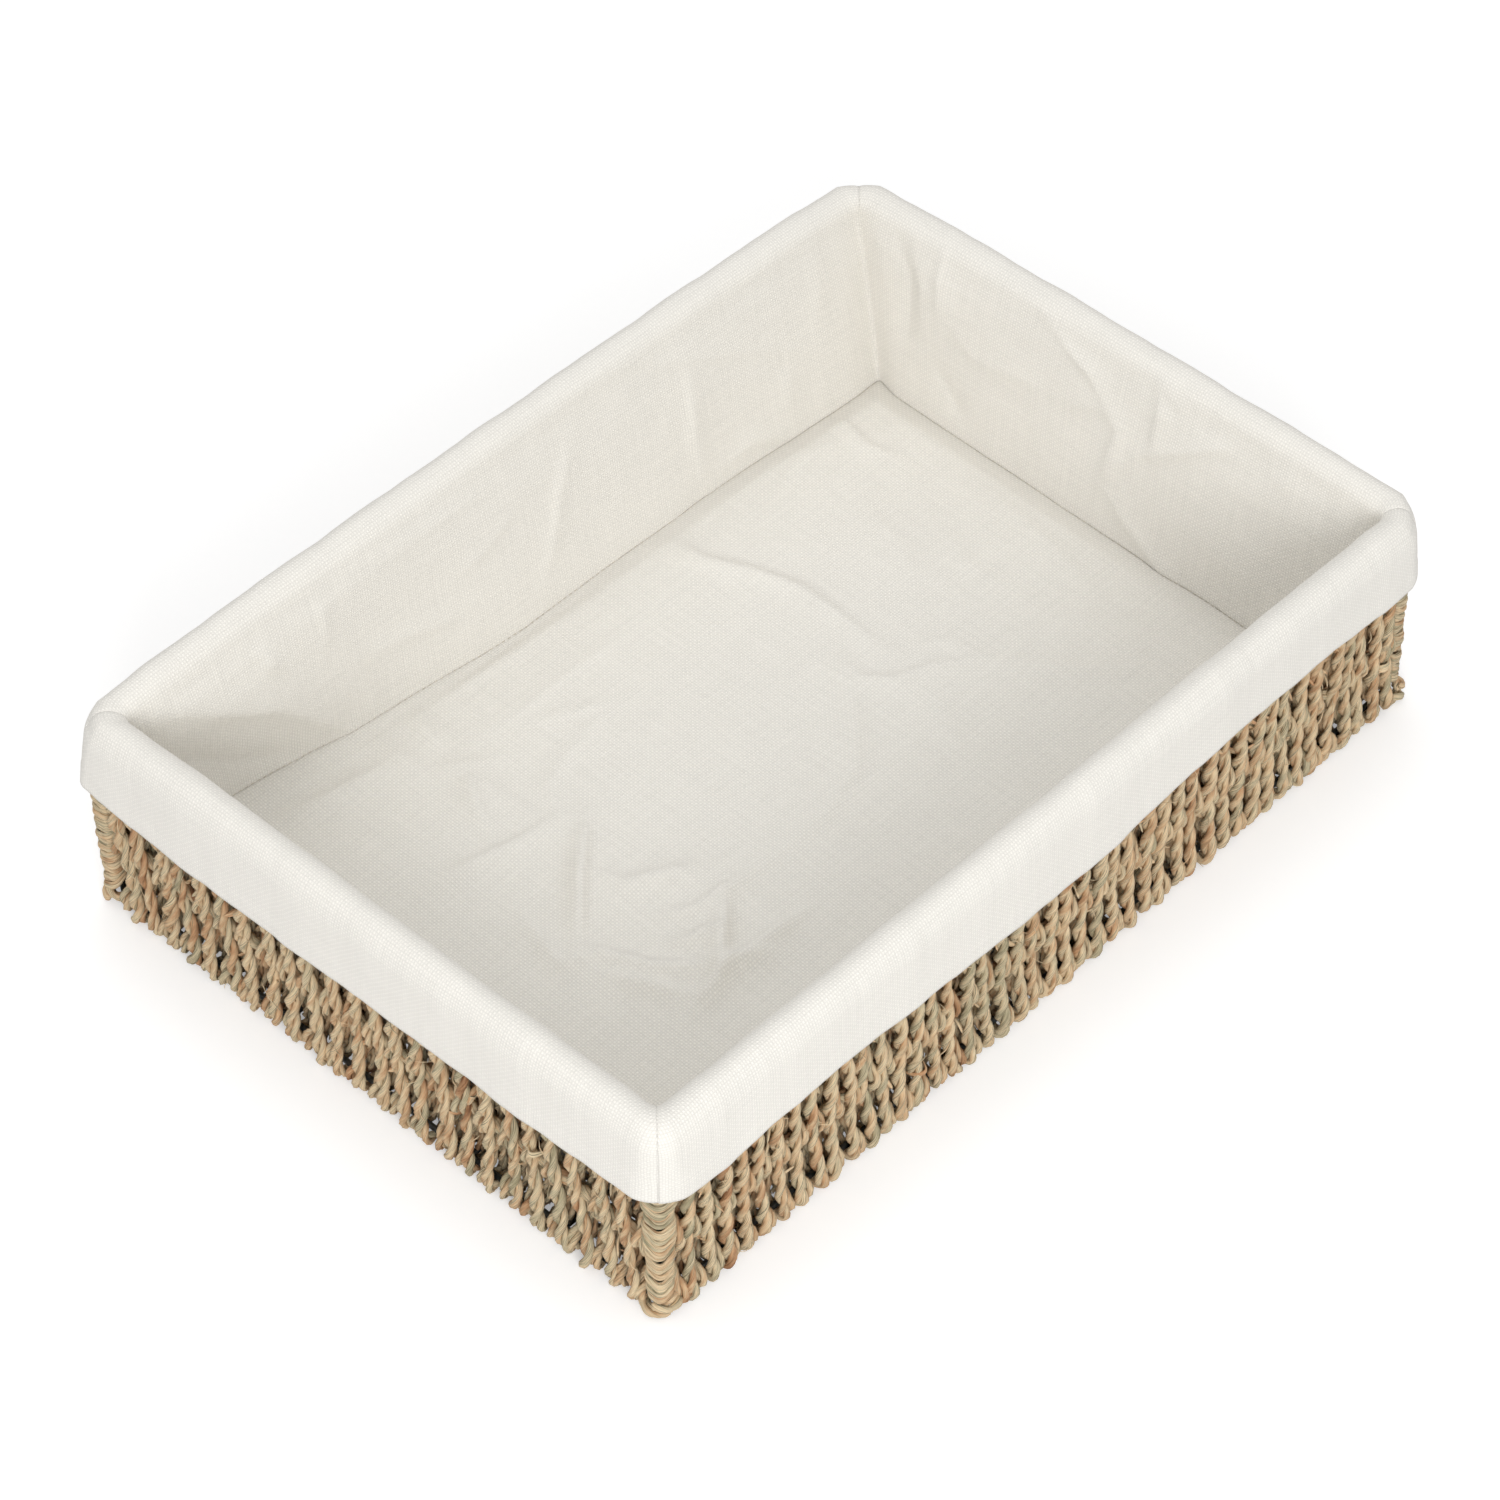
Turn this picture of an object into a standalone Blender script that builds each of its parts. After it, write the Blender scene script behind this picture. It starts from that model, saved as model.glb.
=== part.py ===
"""Shallow rectangular seagrass tray basket on a steel wire frame, with a cotton liner that folds over the rim.

The basket stands on the ground plane with its origin at the middle of its underside, +Z up. X runs along the
long sides and Y along the short ones. The liner is a separate cloth shell that lifts straight up off the rim.
"""

import math

import bmesh
import bpy
from mathutils import Vector

# Driving dimensions, in metres. The crest is the top line of the rolled cloth rim.
CREST_LENGTH = 0.450
CREST_WIDTH = 0.3104
CREST_HEIGHT = 0.1128
CLOTH = 0.0015
WEAVE_THICKNESS = 0.013
CUFF_DEPTH = 0.044
GAP = 0.0003

# Steel wire frame
WIRE_RADIUS = 0.0013
WIRE_SIDES = 8
RING_CORNER_RADIUS = 0.005
BASE_WIRE_HEIGHT = 0.006
BASE_RIB_COUNT = 5

# Seagrass
LONG_ROPES = 44
SHORT_ROPES = 24
ROPE_NOTCH = 0.0018
ROPE_FLAT = 0.45
BASE_THICKNESS = 0.0115
WRAP_TURNS = 9
WRAP_GROOVE = 0.0005
WRAP_CORNER_RADIUS = 0.0045

# Cotton liner: how far its wall stands in from the weave where it meets the floor
FLOOR_SLACK = 0.0105

ARC_STEPS = 4
HALF_WEAVE = WEAVE_THICKNESS / 2
HALF_LENGTH = CREST_LENGTH / 2
HALF_WIDTH = CREST_WIDTH / 2
ROLL_RADIUS = HALF_WEAVE + GAP + CLOTH
ROLL_HEIGHT = CREST_HEIGHT - ROLL_RADIUS
RING_SPACING = (ROLL_HEIGHT - BASE_WIRE_HEIGHT) / 3
FLOOR_HEIGHT = BASE_THICKNESS + GAP
CORNERS = {"front_left": (-1, -1), "front_right": (1, -1), "back_right": (1, 1), "back_left": (-1, 1)}


def clear_scene():
    """Remove whatever the file opened with."""
    for obj in list(bpy.data.objects):
        bpy.data.objects.remove(obj, do_unlink=True)


def material(name, colour, roughness, metallic=0.0):
    """A plain Principled material."""
    mat = bpy.data.materials.new(name)
    mat.use_nodes = True
    shader = mat.node_tree.nodes["Principled BSDF"]
    shader.inputs["Base Color"].default_value = (*colour, 1.0)
    shader.inputs["Roughness"].default_value = roughness
    shader.inputs["Metallic"].default_value = metallic
    return mat


def add_empty(name):
    """An empty at the origin that carries one body's pieces."""
    empty = bpy.data.objects.new(name, None)
    bpy.context.collection.objects.link(empty)
    return empty


def add_mesh(name, bm, mat, parent, smooth_angle=None):
    """Turn a bmesh into a named object under its body's empty."""
    bmesh.ops.recalc_face_normals(bm, faces=bm.faces)
    mesh = bpy.data.meshes.new(name)
    bm.to_mesh(mesh)
    bm.free()
    mesh.materials.append(mat)
    if smooth_angle is not None:
        mesh.shade_smooth()
        mesh.set_sharp_from_angle(angle=smooth_angle)
    obj = bpy.data.objects.new(name, mesh)
    bpy.context.collection.objects.link(obj)
    obj.parent = parent
    return obj


def hide_cutter(obj):
    """Keep a Boolean's cutter out of the finished part."""
    obj.hide_render = True
    obj.display_type = "WIRE"


def cut(obj, cutters):
    """Take the wires' channels out of a piece."""
    for cutter in cutters:
        boolean = obj.modifiers.new("channel_" + cutter.name, "BOOLEAN")
        boolean.operation = "DIFFERENCE"
        boolean.solver = "EXACT"
        boolean.object = cutter


def loft(rings, cyclic=False):
    """A closed solid through rings of points that all have the same count: joined end to end, or capped."""
    bm = bmesh.new()
    loops = [[bm.verts.new(point) for point in ring] for ring in rings]
    count = len(loops[0])
    pairs = list(zip(loops, loops[1:]))
    if cyclic:
        pairs.append((loops[-1], loops[0]))
    for lower, upper in pairs:
        for i in range(count):
            j = (i + 1) % count
            bm.faces.new((lower[i], lower[j], upper[j], upper[i]))
    if not cyclic:
        bm.faces.new(list(reversed(loops[0])))
        bm.faces.new(loops[-1])
    return bm


def arc(centre, radius, start, end, steps=ARC_STEPS):
    """Points of an arc in a plane, both ends included; angles in degrees."""
    angles = [math.radians(start + (end - start) * i / steps) for i in range(steps + 1)]
    return [(centre[0] + radius * math.cos(a), centre[1] + radius * math.sin(a)) for a in angles]


# ---- steel wire frame ----


def tube_rings(points, radius, cyclic):
    """Circles square to a wire's path, one at each of its points."""
    path = [Vector(point) for point in points]
    count = len(path)
    rings = []
    for i, point in enumerate(path):
        before = path[i - 1] if i or cyclic else point
        after = path[(i + 1) % count] if i + 1 < count or cyclic else point
        along = (after - before).normalized()
        up = Vector((0, 0, 1)) if abs(along.z) < 0.5 else Vector((1, 0, 0))
        across = along.cross(up).normalized()
        up = across.cross(along)
        angles = [math.tau * (k + 0.5) / WIRE_SIDES for k in range(WIRE_SIDES)]
        rings.append([point + radius * (math.cos(a) * across + math.sin(a) * up) for a in angles])
    return rings


def wire_with_channel(name, points, cyclic, mat, parent):
    """One round wire, and the slightly fatter cutter that makes room for it in the seagrass."""
    smooth = math.radians(50)
    add_mesh(name, loft(tube_rings(points, WIRE_RADIUS, cyclic), cyclic), mat, parent, smooth)
    fat = loft(tube_rings(points, WIRE_RADIUS + GAP, cyclic), cyclic)
    channel = add_mesh(name + "_channel", fat, mat, parent)
    hide_cutter(channel)
    return channel


def ring_points(height):
    """The rounded rectangle that a ring wire follows, in the middle of the weave."""
    x = HALF_LENGTH - RING_CORNER_RADIUS
    y = HALF_WIDTH - RING_CORNER_RADIUS
    outline = []
    for centre, start in (((x, y), 0), ((-x, y), 90), ((-x, -y), 180), ((x, -y), 270)):
        outline += arc(centre, RING_CORNER_RADIUS, start, start + 90)
    return [(px, py, height) for px, py in outline]


def make_rings(steel, parent):
    """Four ring wires, evenly spaced from the base to the rim."""
    names = ("base_wire", "mid_wire", "upper_wire", "rim_wire")
    heights = [BASE_WIRE_HEIGHT + RING_SPACING * i for i in range(len(names))]
    return [
        wire_with_channel(name, ring_points(height), True, steel, parent)
        for name, height in zip(names, heights)
    ]


def make_posts(steel, parent):
    """An upright wire welded inside each corner of the rings."""
    reach = RING_CORNER_RADIUS - 2 * WIRE_RADIUS - GAP
    inset = RING_CORNER_RADIUS - reach / math.sqrt(2)
    bottom = BASE_WIRE_HEIGHT - WIRE_RADIUS
    top = ROLL_HEIGHT + WIRE_RADIUS
    channels = {}
    for corner, (sx, sy) in CORNERS.items():
        x = sx * (HALF_LENGTH - inset)
        y = sy * (HALF_WIDTH - inset)
        points = [(x, y, bottom), (x, y, top)]
        channels[corner] = wire_with_channel("corner_post_" + corner, points, False, steel, parent)
    return channels


def make_base_ribs(steel, parent):
    """Lengthwise wires across the base, butted against the base ring at both ends."""
    reach = HALF_LENGTH - WIRE_RADIUS - GAP
    pitch = CREST_WIDTH / (BASE_RIB_COUNT + 1)
    channels = []
    for i in range(BASE_RIB_COUNT):
        y = -HALF_WIDTH + pitch * (i + 1)
        points = [(-reach, y, BASE_WIRE_HEIGHT), (reach, y, BASE_WIRE_HEIGHT)]
        channels.append(wire_with_channel(f"base_rib_{i + 1}", points, False, steel, parent))
    return channels


# ---- seagrass ----


def rope_row(start, end, count):
    """One face of a row of ropes side by side: (distance along, depth of the notch) pairs."""
    pitch = (end - start) / count
    row = [(start, ROPE_NOTCH)]
    for i in range(count):
        middle = start + pitch * (i + 0.5)
        row.append((middle - pitch * ROPE_FLAT / 2, 0.0))
        row.append((middle + pitch * ROPE_FLAT / 2, 0.0))
        row.append((start + pitch * (i + 1), ROPE_NOTCH))
    return row


def side_weave_rings(half_run, count):
    """Slices of an upright woven panel, its ropes side by side, with a round top that ends over the rim wire."""
    row = rope_row(-half_run, half_run, count)
    slices = [(0.0, 1.0), (ROLL_HEIGHT, 1.0)]
    for angle in (45, 78):
        rise = math.radians(angle)
        slices.append((ROLL_HEIGHT + HALF_WEAVE * math.sin(rise), math.cos(rise)))
    rings = []
    for height, spread in slices:
        outer = [(along, -spread * (HALF_WEAVE - notch), height) for along, notch in row]
        inner = [(along, spread * (HALF_WEAVE - notch), height) for along, notch in reversed(row)]
        rings.append(outer + inner)
    return rings


def make_side_weaves(seagrass, parent, ring_channels, rib_channels):
    """The four woven walls, each a flat panel between two wrapped corners."""
    corner = HALF_WEAVE + GAP
    long_run = HALF_LENGTH - corner
    short_run = HALF_WIDTH - corner
    sides = (
        ("front", long_run, LONG_ROPES, (0, -HALF_WIDTH), 0, ring_channels),
        ("back", long_run, LONG_ROPES, (0, HALF_WIDTH), 180, ring_channels),
        ("left", short_run, SHORT_ROPES, (-HALF_LENGTH, 0), -90, ring_channels + rib_channels),
        ("right", short_run, SHORT_ROPES, (HALF_LENGTH, 0), 90, ring_channels + rib_channels),
    )
    for side, half_run, count, (x, y), turn, channels in sides:
        panel = add_mesh("side_weave_" + side, loft(side_weave_rings(half_run, count)), seagrass, parent)
        panel.location = (x, y, 0)
        panel.rotation_euler = (0, 0, math.radians(turn))
        cut(panel, channels)


def make_base_weave(seagrass, parent, rib_channels):
    """The woven floor, its ropes running across the basket over the lengthwise ribs."""
    half_run = HALF_LENGTH - HALF_WEAVE - GAP
    half_depth = HALF_WIDTH - HALF_WEAVE - GAP
    row = rope_row(-half_run, half_run, LONG_ROPES)
    outline = [(-half_run, 0.0), (half_run, 0.0)]
    outline += [(along, BASE_THICKNESS - notch) for along, notch in reversed(row)]
    rings = [[(x, y, z) for x, z in outline] for y in (half_depth, -half_depth)]
    cut(add_mesh("base_weave", loft(rings), seagrass, parent), rib_channels)


def wrap_outline(half, sx, sy):
    """Plan of a corner wrap: square towards the weave and rounded on the basket's outer corner."""
    radius = WRAP_CORNER_RADIUS
    points = [(-half, -half), (half, -half)]
    points += arc((half - radius, half - radius), radius, 0, 90)
    points.append((-half, half))
    plan = [(sx * x, sy * y) for x, y in points]
    return plan if sx * sy > 0 else list(reversed(plan))


def make_corner_wraps(seagrass, parent, ring_channels, post_channels):
    """Stacked turns of seagrass bound round each corner post."""
    turn_height = ROLL_HEIGHT / WRAP_TURNS
    slices = [(0.0, HALF_WEAVE - WRAP_GROOVE)]
    for i in range(WRAP_TURNS):
        slices.append((turn_height * (i + 0.5), HALF_WEAVE))
        slices.append((turn_height * (i + 1), HALF_WEAVE - WRAP_GROOVE))
    rise = math.radians(50)
    slices.append((ROLL_HEIGHT + HALF_WEAVE * math.sin(rise), HALF_WEAVE * math.cos(rise)))
    for corner, (sx, sy) in CORNERS.items():
        rings = []
        for height, half in slices:
            scale = half / HALF_WEAVE
            plan = wrap_outline(HALF_WEAVE, sx, sy)
            rings.append([(x * scale, y * scale, height) for x, y in plan])
        wrap = add_mesh("corner_wrap_" + corner, loft(rings), seagrass, parent)
        wrap.location = (sx * HALF_LENGTH, sy * HALF_WIDTH, 0)
        cut(wrap, ring_channels + [post_channels[corner]])


# ---- cotton liner ----


def liner_profile():
    """Section of a liner side as (distance outwards from the weave's middle, height): cuff, roll over the rim, wall."""
    hem = CREST_HEIGHT - CUFF_DEPTH
    foot = FLOOR_HEIGHT + CLOTH + GAP
    far = [(ROLL_RADIUS, hem)]
    far += arc((0, ROLL_HEIGHT), ROLL_RADIUS, 0, 180, 2 * ARC_STEPS)
    far.append((-ROLL_RADIUS - FLOOR_SLACK, foot))
    near_radius = ROLL_RADIUS - CLOTH
    near = [(near_radius, hem)]
    near += arc((0, ROLL_HEIGHT), near_radius, 0, 180, 2 * ARC_STEPS)
    near.append((-near_radius - FLOOR_SLACK, foot))
    return far + list(reversed(near))


def make_liner_sides(cotton, parent):
    """One cloth panel per side, mitred where it is sewn to its neighbours at the corners."""
    seam = GAP / math.sqrt(2)
    sides = (
        ("front", HALF_LENGTH, HALF_WIDTH, 0),
        ("back", HALF_LENGTH, HALF_WIDTH, 180),
        ("left", HALF_WIDTH, HALF_LENGTH, -90),
        ("right", HALF_WIDTH, HALF_LENGTH, 90),
    )
    for side, half_run, offset, turn in sides:
        profile = liner_profile()
        rings = []
        for sign in (-1, 1):
            rings.append([(sign * (half_run + out - seam), -offset - out, z) for out, z in profile])
        panel = add_mesh("liner_" + side, loft(rings), cotton, parent)
        panel.rotation_euler = (0, 0, math.radians(turn))


def make_liner_floor(cotton, parent):
    """The flat cloth floor, sewn to the foot of each side."""
    x = HALF_LENGTH - ROLL_RADIUS - FLOOR_SLACK + CLOTH
    y = HALF_WIDTH - ROLL_RADIUS - FLOOR_SLACK + CLOTH
    outline = [(-x, -y), (x, -y), (x, y), (-x, y)]
    rings = [[(px, py, z) for px, py in outline] for z in (FLOOR_HEIGHT, FLOOR_HEIGHT + CLOTH)]
    add_mesh("liner_floor", loft(rings), cotton, parent)


def build():
    """The basket and its liner, each under its own body's empty."""
    clear_scene()
    steel = material("galvanised_wire", (0.42, 0.43, 0.43), 0.4, 1.0)
    seagrass = material("seagrass", (0.52, 0.40, 0.23), 0.85)
    cotton = material("cotton", (0.80, 0.77, 0.70), 0.9)
    basket = add_empty("basket_body")
    liner = add_empty("liner_body")
    ring_channels = make_rings(steel, basket)
    post_channels = make_posts(steel, basket)
    rib_channels = make_base_ribs(steel, basket)
    make_side_weaves(seagrass, basket, ring_channels, rib_channels)
    make_base_weave(seagrass, basket, rib_channels)
    make_corner_wraps(seagrass, basket, ring_channels, post_channels)
    make_liner_sides(cotton, liner)
    make_liner_floor(cotton, liner)


build()
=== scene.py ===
import math

import bpy
import numpy as np
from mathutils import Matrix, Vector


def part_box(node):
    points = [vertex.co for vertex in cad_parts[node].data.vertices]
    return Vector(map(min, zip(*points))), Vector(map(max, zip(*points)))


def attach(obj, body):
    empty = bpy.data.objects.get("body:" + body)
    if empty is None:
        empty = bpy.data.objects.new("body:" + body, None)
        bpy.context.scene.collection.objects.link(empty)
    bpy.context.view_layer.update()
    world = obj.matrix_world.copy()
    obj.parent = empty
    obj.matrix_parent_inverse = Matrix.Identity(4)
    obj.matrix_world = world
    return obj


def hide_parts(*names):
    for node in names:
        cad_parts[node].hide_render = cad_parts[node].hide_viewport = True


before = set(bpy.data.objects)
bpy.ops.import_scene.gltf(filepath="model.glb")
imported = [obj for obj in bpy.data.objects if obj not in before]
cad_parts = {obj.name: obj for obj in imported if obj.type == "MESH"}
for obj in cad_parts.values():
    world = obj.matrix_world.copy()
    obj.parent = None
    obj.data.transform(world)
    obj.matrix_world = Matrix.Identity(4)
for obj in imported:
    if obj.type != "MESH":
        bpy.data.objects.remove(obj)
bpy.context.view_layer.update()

# ---- Viewpoint ----
# The basket is seen from above one corner with a long lens, nearly square on to neither side, so that the
# inside, the long wall on the right and the short wall on the left all show.
EYE = (-1.0125, -0.9419, 1.4822)
EYE_HEADING = math.radians(43.22)
EYE_DIP = math.radians(46.47)
LENS = 115.6


def place_object(name, data):
    """A new object, put in the scene."""
    made = bpy.data.objects.new(name, data)
    bpy.context.collection.objects.link(made)
    return made


camera_data = bpy.data.cameras.new("camera")
camera_data.lens = LENS
camera_data.clip_start = 0.05
camera = place_object("camera", camera_data)
camera.location = EYE
camera.rotation_euler = (math.pi / 2 - EYE_DIP, 0, EYE_HEADING - math.pi / 2)
bpy.context.scene.camera = camera


# ---- Table and studio light ----
# A plain white sweep under the basket, which glows a little only where it is seen directly, with a soft lamp
# overhead, a key lamp on the viewer's left and an even white surround, so that shadows stay faint.
TABLE_SIZE = 8.0
TABLE_PAINT = (0.78, 0.78, 0.78, 1.0)
TABLE_GLOW = 0.36
SURROUND = 0.695
WHITE = (1.0, 1.0, 1.0, 1.0)
BASKET_MIDDLE = (0, 0, 0.05)


def feed(tree, made, inputs):
    """Set a node's inputs. Each is a number, a colour, or the socket that feeds it."""
    for name, value in inputs.items():
        if isinstance(value, bpy.types.NodeSocket):
            tree.links.new(value, made.inputs[name])
        else:
            made.inputs[name].default_value = value


def node(tree, kind, inputs, **settings):
    """The outputs of a new shader node, made with its settings and inputs."""
    made = tree.nodes.new("ShaderNode" + kind)
    for name, value in settings.items():
        setattr(made, name, value)
    feed(tree, made, inputs)
    return made.outputs


def maths(tree, operation, *operands, clamp=False):
    """The result of one sum; each operand is a socket or a number."""
    return node(tree, "Math", dict(enumerate(operands)), operation=operation, use_clamp=clamp)["Value"]


def new_paint(name):
    """A new material, its node tree and its main shader."""
    paint = bpy.data.materials.new(name)
    paint.use_nodes = True
    return paint, paint.node_tree, paint.node_tree.nodes["Principled BSDF"]


half_table = TABLE_SIZE / 2
table_corners = [(-half_table, -half_table, 0), (half_table, -half_table, 0),
                 (half_table, half_table, 0), (-half_table, half_table, 0)]
table_mesh = bpy.data.meshes.new("table")
table_mesh.from_pydata(table_corners, [], [(0, 1, 2, 3)])
table = place_object("table", table_mesh)
table_paint, table_tree, table_shader = new_paint("table_white")
seen_directly = node(table_tree, "LightPath", {})["Is Camera Ray"]
feed(table_tree, table_shader, {
    "Base Color": TABLE_PAINT, "Roughness": 0.9, "Specular IOR Level": 0.1, "Emission Color": WHITE,
    "Emission Strength": maths(table_tree, "MULTIPLY", seen_directly, TABLE_GLOW)})
table_mesh.materials.append(table_paint)

world = bpy.data.worlds.new("studio")
world.use_nodes = True
feed(world.node_tree, world.node_tree.nodes["Background"], {"Color": WHITE, "Strength": SURROUND})
bpy.context.scene.world = world
bpy.context.scene.view_settings.view_transform = "Standard"


def soft_lamp(name, place, size, power):
    """A square softbox that faces the basket."""
    data = bpy.data.lights.new(name, "AREA")
    data.shape = "SQUARE"
    data.size = size
    data.energy = power
    lamp = place_object(name, data)
    lamp.location = place
    toward = np.array(BASKET_MIDDLE, float) - np.array(place, float)
    lamp.rotation_euler = (math.pi / 2 + math.atan2(toward[2], math.hypot(toward[0], toward[1])), 0,
                           math.atan2(toward[1], toward[0]) - math.pi / 2)


soft_lamp("overhead_lamp", (0.3, 0.5, 1.9), size=1.2, power=6)
soft_lamp("viewer_key", (-1.45, -1.6, 1.15), size=1.0, power=27)


# ---- Galvanised wire frame ----
# Four rings, four corner posts and five base ribs of 2.6 mm zinc-coated steel wire, welded where they cross.
# The rope hides nearly all of it; the dull grey wire shows only in the gaps of the weave.
WIRE_NODES = ["base_wire", "mid_wire", "upper_wire", "rim_wire"]
WIRE_NODES += ["corner_post_" + corner for corner in ("front_left", "front_right", "back_right", "back_left")]
WIRE_NODES += [f"base_rib_{i}" for i in range(1, 6)]
ZINC_TONES = [(0.35, (0.08, 0.09, 0.09)), (0.70, (0.20, 0.22, 0.23))]


def tone_ramp(tree, value, stops):
    """A colour that runs through stops, each a place from 0 to 1 and a colour, as value rises."""
    made = tree.nodes.new("ShaderNodeValToRGB")
    tree.links.new(value, made.inputs["Fac"])
    ramp = made.color_ramp
    for end, (place, colour) in ((0, stops[0]), (1, stops[-1])):
        ramp.elements[end].position = place
        ramp.elements[end].color = (*colour, 1)
    for place, colour in stops[1:-1]:
        ramp.elements.new(place).color = (*colour, 1)
    return made.outputs["Color"]


zinc, zinc_tree, zinc_shader = new_paint("galvanised_wire")
zinc_place = node(zinc_tree, "TexCoord", {})["Object"]
spangle = node(zinc_tree, "TexNoise", {"Vector": zinc_place, "Scale": 400.0, "Detail": 3.0})["Fac"]
feed(zinc_tree, zinc_shader, {
    "Metallic": 1.0, "Base Color": tone_ramp(zinc_tree, spangle, ZINC_TONES),
    "Roughness": node(zinc_tree, "MapRange", {"Value": spangle, "To Min": 0.35, "To Max": 0.6})["Result"],
    "Normal": node(zinc_tree, "Bump", {"Height": spangle, "Distance": 0.0001})["Normal"]})
for wire_name in WIRE_NODES:
    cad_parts[wire_name].material_slots[0].material = zinc


# ---- Dried seagrass ----
# The finish of every rope and strand: flat dried leaves whose streaks run along the strand, straw to
# grey-green, with some brown ones. Each strand carries its own tone and its place along and round itself.
STREAK_WIDTH = 1500.0
STREAK_SQUASH = 0.055
LEAF_TONES = [(0.0, (0.38, 0.33, 0.20)), (0.22, (0.57, 0.49, 0.32)), (0.45, (0.82, 0.65, 0.42)),
              (0.62, (0.73, 0.51, 0.30)), (0.80, (0.56, 0.31, 0.16)), (1.0, (0.24, 0.11, 0.05))]


def new_group(name, inputs, outputs):
    """A node group with its named sockets, and the nodes that bring its inputs and take its outputs."""
    group = bpy.data.node_groups.new(name, "ShaderNodeTree")
    for socket, value in inputs.items():
        made = group.interface.new_socket(name=socket, in_out="INPUT", socket_type="NodeSocketFloat")
        made.default_value = value
    for socket in outputs:
        kind = "NodeSocketColor" if socket == "Colour" else "NodeSocketFloat"
        group.interface.new_socket(name=socket, in_out="OUTPUT", socket_type=kind)
    return group, group.nodes.new("NodeGroupInput").outputs, group.nodes.new("NodeGroupOutput")


def multiplied(tree, colour, by):
    """One colour times another; each is a colour or a socket."""
    return node(tree, "Mix", {"Factor": 1.0, "A": colour, "B": by}, data_type="RGBA",
                blend_type="MULTIPLY")["Result"]


leaf_streaks, streak_in, streak_out = new_group("leaf streaks", {"Streak width": STREAK_WIDTH},
                                                ("Colour", "Height", "Roughness"))
strand_place = node(leaf_streaks, "Attribute", {}, attribute_name="strand")["Vector"]
own_tone = node(leaf_streaks, "Attribute", {}, attribute_name="tone")["Fac"]
squashed = node(leaf_streaks, "Mapping", {"Vector": strand_place, "Scale": (1.0, 1.0, STREAK_SQUASH)})
streak = node(leaf_streaks, "TexNoise", {"Vector": squashed["Vector"], "Scale": streak_in["Streak width"],
                                         "Detail": 2.0})["Fac"]
patch = node(leaf_streaks, "TexNoise", {"Vector": strand_place, "Scale": 110.0, "Detail": 3.0})["Fac"]
leaf_tone = maths(leaf_streaks, "ADD", own_tone, maths(leaf_streaks, "MULTIPLY_ADD", patch, 1.0, -0.50))
leaf_tone = maths(leaf_streaks, "ADD", leaf_tone,
                  maths(leaf_streaks, "MULTIPLY_ADD", streak, 0.7, -0.35), clamp=True)
dark_line = node(leaf_streaks, "MapRange", {"Value": streak, "From Min": 0.30, "From Max": 0.50,
                                            "To Min": 0.34, "To Max": 1.0})["Result"]
ridge = maths(leaf_streaks, "ABSOLUTE", maths(leaf_streaks, "MULTIPLY_ADD", streak, 2.0, -1.0))
feed(leaf_streaks, streak_out, {
    "Colour": multiplied(leaf_streaks, tone_ramp(leaf_streaks, leaf_tone, LEAF_TONES), dark_line),
    "Height": maths(leaf_streaks, "MULTIPLY_ADD", ridge, 0.6, streak),
    "Roughness": node(leaf_streaks, "MapRange", {"Value": streak, "To Min": 0.85, "To Max": 0.55})["Result"]})

seagrass, grass_tree, grass_shader = new_paint("seagrass")
leaf = node(grass_tree, "Group", {"Streak width": STREAK_WIDTH}, node_tree=leaf_streaks)
leaf_bump = node(grass_tree, "Bump", {"Height": leaf["Height"], "Strength": 0.9, "Distance": 0.0006})
feed(grass_tree, grass_shader, {"Base Color": leaf["Colour"], "Roughness": leaf["Roughness"],
                                "Normal": leaf_bump["Normal"], "Specular IOR Level": 0.25})


# ---- Side ropes ----
# Two-ply seagrass rope, laid right-handed, stands upright over the wire rings. Every other rope climbs the
# outside and turns over the rim; the rest come down the inside and step out at each ring. Lining ropes close
# the wall from behind, and cords of loose leaf are bound along the rings and just under the cuff.
ROPE_RADIUS = 0.0030
ROPE_LAY = 0.0215
PLY_SIDES = 10
SHOWN_STEP = 0.0015
HIDDEN_STEP = 0.0030
UNDER_DROP = 0.0023
BACK = -0.0034
FORWARD = 0.0034
TUCKED_IN = 0.0043
LINING_RADIUS = 0.0027
RING_CORD_RADIUS = 0.0029
RING_CORD_LAY = 0.030
CUFF_DEPTH = 0.044


def middle_height(name):
    """The height of the middle of a ring."""
    return float(np.mean([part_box(name)[0][2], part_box(name)[1][2]]))


RIM_WIRE_Z = middle_height("rim_wire")
BASE_WIRE_Z = middle_height("base_wire")
RING_ZS = [middle_height("mid_wire"), middle_height("upper_wire")]
WIRE_RADIUS = (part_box("base_rib_1")[1][2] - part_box("base_rib_1")[0][2]) / 2
WALL_X = (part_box("rim_wire")[1][0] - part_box("rim_wire")[0][0]) / 2 - WIRE_RADIUS
WALL_Y = (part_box("rim_wire")[1][1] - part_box("rim_wire")[0][1]) / 2 - WIRE_RADIUS
HEM_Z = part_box("liner_front")[1][2] - CUFF_DEPTH
CUFF_CORD_Z = HEM_Z - 0.0045


def wandering(rng, count, knots, size):
    """A slow random drift along a strand, one value per point."""
    values = rng.normal(0, size, knots)
    return np.interp(np.linspace(0, knots - 1, count), np.arange(knots), values)


def strand_tone(rng):
    """Tone of one strand: mostly straw, some grey-green, a few brown."""
    kind = rng.random()
    if kind < 0.18:
        return rng.uniform(0.20, 0.34)
    if kind < 0.90:
        return rng.uniform(0.40, 0.58)
    return rng.uniform(0.62, 0.76)


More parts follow.
